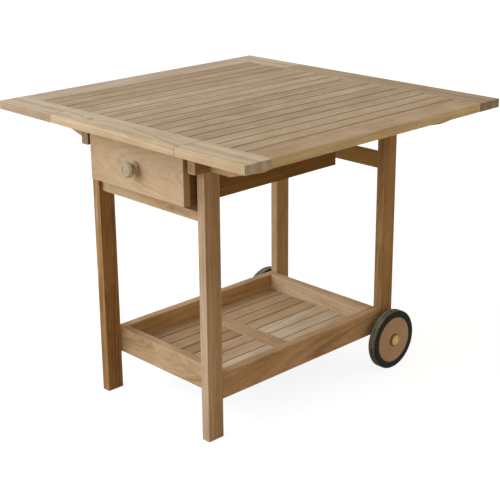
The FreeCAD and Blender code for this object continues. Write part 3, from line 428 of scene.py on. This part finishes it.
def make_rubber():
    """Black moulded rubber, dusty grey-green where it meets the ground."""
    material, tree, surface = new_material("tyre rubber")
    here = add_node(tree, "TexCoord").outputs
    across = sums(tree, "ABSOLUTE", part_of(tree, here["Normal"], 0))
    tread = sums(tree, "SUBTRACT", 1.0, ramp(tree, across, *TREAD_TURN))
    speckle = noise(tree, here["Object"], *SPECKLE, 4.0, 0.65)
    patches = noise(tree, here["Object"], *PATCHES, 3.0)
    dust = sums(tree, "MULTIPLY", tread, ramp(tree, sums(tree, "ADD", speckle, patches), *DUST_SPREAD))
    colour = mixed(tree, dust, BLACK, DUST)
    roughness = sums(tree, "MULTIPLY_ADD", dust, *RUBBER_ROUGHNESS)
    lay_skin(tree, surface, colour, roughness, speckle, 0.4, RUBBER_RELIEF)
    surface.inputs["Specular IOR Level"].default_value = RUBBER_SHEEN
    return material


def make_metal(name, colour, dull, roughness, rim=None):
    """Metal with a drawn or pressed skin: bright where it is handled and duller in cloudy patches. rim is the
    middle of a round piece and the radii between which it darkens, partly tarnished in the join and partly a
    painted dark reflection."""
    material, tree, surface = new_material(name)
    here = add_node(tree, "TexCoord").outputs["Object"]
    cloud = ramp(tree, noise(tree, here, *METAL_CLOUDS, 4.0, 0.6), *CLOUD_SPREAD)
    if rim:
        # a round piece darkens toward its rim, partly tarnished and partly a painted dark reflection
        middle, clean, dark = rim
        from_axle = place_sums(tree, "MULTIPLY", place_sums(tree, "SUBTRACT", here, middle), (0.0, 1.0, 1.0))
        rim_tarnish_and_reflection = ramp(tree, length_of(tree, from_axle), clean, dark)
        cloud = sums(tree, "MAXIMUM", sums(tree, "MULTIPLY", cloud, 0.6), rim_tarnish_and_reflection)
    scratches = noise(tree, here, *SCRATCHES, 2.0)
    rough = sums(tree, "MULTIPLY_ADD", scratches, SCRATCH_ROUGHNESS, roughness)
    rough = sums(tree, "MULTIPLY_ADD", cloud, CLOUD_ROUGHNESS, rough)
    lay_skin(tree, surface, mixed(tree, cloud, colour, dull), rough, scratches, 0.15, SCRATCH_RELIEF)
    surface.inputs["Metallic"].default_value = 1.0
    return material


rubber = make_rubber()
steel = make_metal("plated steel", PLATED, CLOUDED, 0.3)
low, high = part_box("wheel_tyre_right")
cap_brass = make_metal("cap brass", POLISHED, DARK_TARNISH_AND_REFLECTION, 0.18, ((low + high) / 2, CAP_CROWN, CAP_RIM))
for side in ("left", "right"):
    disc = "wheel_disc_" + side
    finish_node(disc, teak(disc, "Y", "X", BISCUIT, (0.10, 0.02), (1.2, 0.0), figure=0.5))
    finish_node("wheel_tyre_" + side, rubber)
finish_node("axle", steel)
finish_node("axle_spacers", steel)
finish_node("axle_caps", cap_brass)


# ------------------------------------------------------------------------------------------------ drawer
# A shallow teak drawer slides on two runners under the top. Its pale front stands between the front
# legs and carries one turned knob, drawn tight by a bolt from inside.

HONEY = (0.500, 0.380, 0.256)
# TOFFEE is far darker than the drawer's other boards: painted shade for the drawer's sides under the top
TOFFEE = (0.222, 0.124, 0.030)
ASH = (0.416, 0.338, 0.233)

# end grain sanded smooth where it shows
SANDED = (1.02, 1.20, 1.42)

finish_node("drawer_front", teak("drawer_front", "X", "Y", HONEY, (0.0, 0.06), (0.0, 0.17), 0.6))
for side in ("drawer_side_left", "drawer_side_right"):
    finish_node(side, teak(side, "Y", "X", TOFFEE, (0.03, 0.12)))
finish_node("drawer_back", teak("drawer_back", "X", "Y", TAN))
finish_node("drawer_bottom", teak("drawer_bottom", "Y", "Z", STRAW, (0.02, 0.25)))
for runner in ("drawer_runner_left", "drawer_runner_right"):
    finish_node(runner, teak(runner, "Y", "X", AMBER))
finish_node("drawer_knob", teak("drawer_knob", "Y", "X", ASH, (0.004, 0.010), figure=0.7, ends=SANDED))
finish_node("knob_bolt", steel)


# ------------------------------------------------------------------------------------------- centre panel
# The fixed middle of the top lies on the two top rails: ten narrow teak slats, tongued into two wide end
# boards. The top has greyed in the sun, and its edges have kept more of their first warmth.

TOP_SHEEN = 0.35
LIGHT = (0.378, 0.302, 0.202)
MIDDLE = (0.357, 0.280, 0.182)
DARK = (0.325, 0.248, 0.153)
SILVER = (0.464, 0.398, 0.295)
WARM = (1.12, 1.03, 0.90)
PANEL_KNOT = ((-0.115, -0.396, 0.740), 0.009)


def finish_top_slats(node, tones):
    """Finishes a row of the top's slats, which fill the width of their node evenly."""
    low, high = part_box(node)
    pitch = (high.x - low.x) / len(tones)
    row = teak(node, "Y", "Z", MIDDLE, figure=0.9, sheen=TOP_SHEEN, slats=(low.x, pitch, tones))
    finish_node(node, row)


for board, tone, log, knot in (
    ("centre_end_board_front", SILVER, (0.05, 0.15), PANEL_KNOT),
    ("centre_end_board_back", DARK, (-0.05, 0.12), NO_KNOT),
):
    finish_node(board, teak(board, "X", "Z", tone, log, (0, 0), 0.9, TOP_SHEEN, SANDED, WARM, knot=knot))
finish_top_slats("centre_slats", (MIDDLE, LIGHT, LIGHT, LIGHT, MIDDLE, MIDDLE, MIDDLE, LIGHT, DARK, DARK))


# ------------------------------------------------------------------------------------------------ leaves
# A leaf is hinged to each side of the panel and rests on two open brackets. Like the panel it is framed
# by two end boards, which hold three slats and a wide rail along the outer edge.

PEARL = (0.466, 0.408, 0.318)
SHADE = (0.298, 0.220, 0.135)
STONE = (0.412, 0.347, 0.265)
CARAMEL = (0.335, 0.240, 0.138)
GREYED = (0.88, 0.77, 0.69)
# GOLDEN lifts the outer side of the right leaf's edge rail far above its tone: painted light for the band of light
# along that rounded edge
GOLDEN = (1.92, 2.38, 2.90)

for board, tone, edges in (
    ("left_leaf_end_board_front", PEARL, GREYED),
    ("left_leaf_end_board_back", SILVER, WARM),
    ("right_leaf_end_board_front", SILVER, WARM),
    ("right_leaf_end_board_back", SHADE, WARM),
):
    finish_node(board, teak(board, "X", "Z", tone, (0.30, 0.03), (0, 0), 0.9, TOP_SHEEN, SANDED, edges))
finish_top_slats("left_leaf_slats", (DARK, MIDDLE, DARK))
finish_top_slats("right_leaf_slats", (LIGHT, LIGHT, MIDDLE))
for rail, tone, log, lean, figure, edges in (
    ("left_leaf_edge_rail", STONE, (0.05, 0.10), (0.02, 0.0), 0.75, WARM),
    ("right_leaf_edge_rail", CARAMEL, (0.12, 0.06), (-0.02, 0.03), 1.1, GOLDEN),
):
    finish_node(rail, teak(rail, "Y", "Z", tone, log, lean, figure, TOP_SHEEN, edges=edges))


# ------------------------------------------------------------------------------------------------ hinges
# Small brass butt hinges, three under each leaf line and one upright at each bracket. Their wings are
# held by countersunk brass screws and turn on plain brass pins.

BRIGHT = (0.46, 0.32, 0.11, 1.0)
DULL = (0.16, 0.11, 0.04, 1.0)
brass = make_metal("brass", BRIGHT, DULL, 0.25)
for fitting in (
    "leaf_hinge_wings_frame", "leaf_hinge_wings_left", "leaf_hinge_wings_right", "bracket_hinge_wings_frame",
    "hinge_pins", "leaf_hinge_screws_frame", "leaf_hinge_screws_left", "leaf_hinge_screws_right",
    "bracket_hinge_screws_frame", "front_left_bracket_hinge_wing", "front_right_bracket_hinge_wing",
    "back_left_bracket_hinge_wing", "back_right_bracket_hinge_wing",
):
    finish_node(fitting, brass)


# ------------------------------------------------------------------------------- floor, lamps and camera
# A plain white studio floor and soft daylight from the front left, warmed a little by the room.
# The camera stands where the photograph was taken, beyond the table's front right corner.

WHITE = (1.0, 1.0, 1.0, 1.0)
FLOOR_REACH = 30.0
FLOOR_SHADED = (0.30, 0.30, 0.30, 1.0)
FLOOR_GLOW = (0.955, 0.978, 1.0, 1.0)
FLOOR_GLOW_STRENGTH = 0.89
FLOOR_BOUNCE = (0.50, 0.40, 0.28, 1.0)
ROOM = (1.0, 0.73, 0.45, 1.0)
ROOM_STRENGTH = 0.56


def ray_is_seen(tree):
    """1 for rays that the camera, metal or glass sees the background by, 0 for the light it sheds."""
    path = add_node(tree, "LightPath").outputs
    return sums(tree, "MAXIMUM", path["Is Camera Ray"],
                sums(tree, "MAXIMUM", path["Is Glossy Ray"], path["Is Transmission Ray"]))


floor_mesh = bpy.data.meshes.new("floor")
floor_mesh.from_pydata([(-FLOOR_REACH, -FLOOR_REACH, 0), (FLOOR_REACH, -FLOOR_REACH, 0),
                        (FLOOR_REACH, FLOOR_REACH, 0), (-FLOOR_REACH, FLOOR_REACH, 0)], [], [(0, 1, 2, 3)])
floor = bpy.data.objects.new("floor", floor_mesh)
bpy.context.scene.collection.objects.link(floor)
floor_paint = bpy.data.materials.new("floor white")
floor_paint.use_nodes = True
tree = floor_paint.node_tree
tree.nodes.clear()
shaded = add_node(tree, "BsdfDiffuse", {"Color": FLOOR_SHADED}).outputs[0]
glow = add_node(tree, "Emission", {"Color": FLOOR_GLOW, "Strength": FLOOR_GLOW_STRENGTH}).outputs[0]
seen = add_node(tree, "AddShader", {0: shaded, 1: glow}).outputs[0]
bounce = add_node(tree, "BsdfDiffuse", {"Color": FLOOR_BOUNCE}).outputs[0]
shown = add_node(tree, "MixShader", {0: ray_is_seen(tree), 1: bounce, 2: seen}).outputs[0]
add_node(tree, "OutputMaterial", {"Surface": shown})
floor_mesh.materials.append(floor_paint)

world = bpy.data.worlds.new("studio")
bpy.context.scene.world = world
world.use_nodes = True
tree = world.node_tree
tree.nodes.clear()
background = add_node(tree, "Background", {"Color": WHITE, "Strength": 1.0}).outputs[0]
room = add_node(tree, "Background", {"Color": ROOM, "Strength": ROOM_STRENGTH}).outputs[0]
lit = add_node(tree, "MixShader", {0: ray_is_seen(tree), 1: room, 2: background}).outputs[0]
add_node(tree, "OutputWorld", {"Surface": lit})


def hang_lamp(name, kind, energy, colour, place):
    """A lamp at a place, turned to shine on the table."""
    lamp = bpy.data.lights.new(name, kind)
    lamp.energy = energy
    lamp.color = colour
    lamp_object = bpy.data.objects.new(name, lamp)
    bpy.context.scene.collection.objects.link(lamp_object)
    lamp_object.location = place
    lamp_object.rotation_euler = place.to_track_quat("Z", "Y").to_euler()
    return lamp


# a wide window five metres off, so that the near end of the table gets a little more light than the far end
DAYLIGHT = (0.80, 0.91, 1.0)
WINDOW_AT = Vector((-0.33, -0.765, 0.553)) * 5.0
WINDOW_WATTS = 258
WINDOW_WIDTH = 5.8
window = hang_lamp("window", "AREA", WINDOW_WATTS, DAYLIGHT, WINDOW_AT)
window.shape = "DISK"
window.size = WINDOW_WIDTH

# a faint light from straight above, as wide as a clouded sky
SKY_STRENGTH = 0.20
SKY_SPREAD = math.radians(100)
skylight = hang_lamp("skylight", "SUN", SKY_STRENGTH, WHITE[:3], AXES["Z"] * 5.0)
skylight.angle = SKY_SPREAD

# the camera's place and aim, fitted to the corners of the boards in the photograph
CAMERA_AT = Vector((2.0605, -1.9912, 1.3592))
HEADING = math.radians(46.437)
DIP = math.radians(18.716)
ROLL = math.radians(-0.615)
FOCAL_PIXELS = 1183.8
CENTRE_PIXEL = (240.0, 235.0)
PHOTO_PIXELS = 500.0
SENSOR = 36.0
ahead = Vector((-math.sin(HEADING) * math.cos(DIP), math.cos(HEADING) * math.cos(DIP), -math.sin(DIP)))
right = ahead.cross(AXES["Z"]).normalized()
above = right.cross(ahead)
right, above = right * math.cos(ROLL) + above * math.sin(ROLL), above * math.cos(ROLL) - right * math.sin(ROLL)
camera_data = bpy.data.cameras.new("camera")
camera_data.lens = FOCAL_PIXELS * SENSOR / PHOTO_PIXELS
camera_data.sensor_width = SENSOR
camera_data.shift_x = (PHOTO_PIXELS / 2 - CENTRE_PIXEL[0]) / PHOTO_PIXELS
camera_data.shift_y = (CENTRE_PIXEL[1] - PHOTO_PIXELS / 2) / PHOTO_PIXELS
camera_data.clip_end = 100.0
camera = bpy.data.objects.new("camera", camera_data)
bpy.context.scene.collection.objects.link(camera)
camera.matrix_world = Matrix.Translation(CAMERA_AT) @ Matrix((right, above, -ahead)).transposed().to_4x4()
bpy.context.scene.camera = camera
bpy.context.scene.view_settings.view_transform = "Standard"
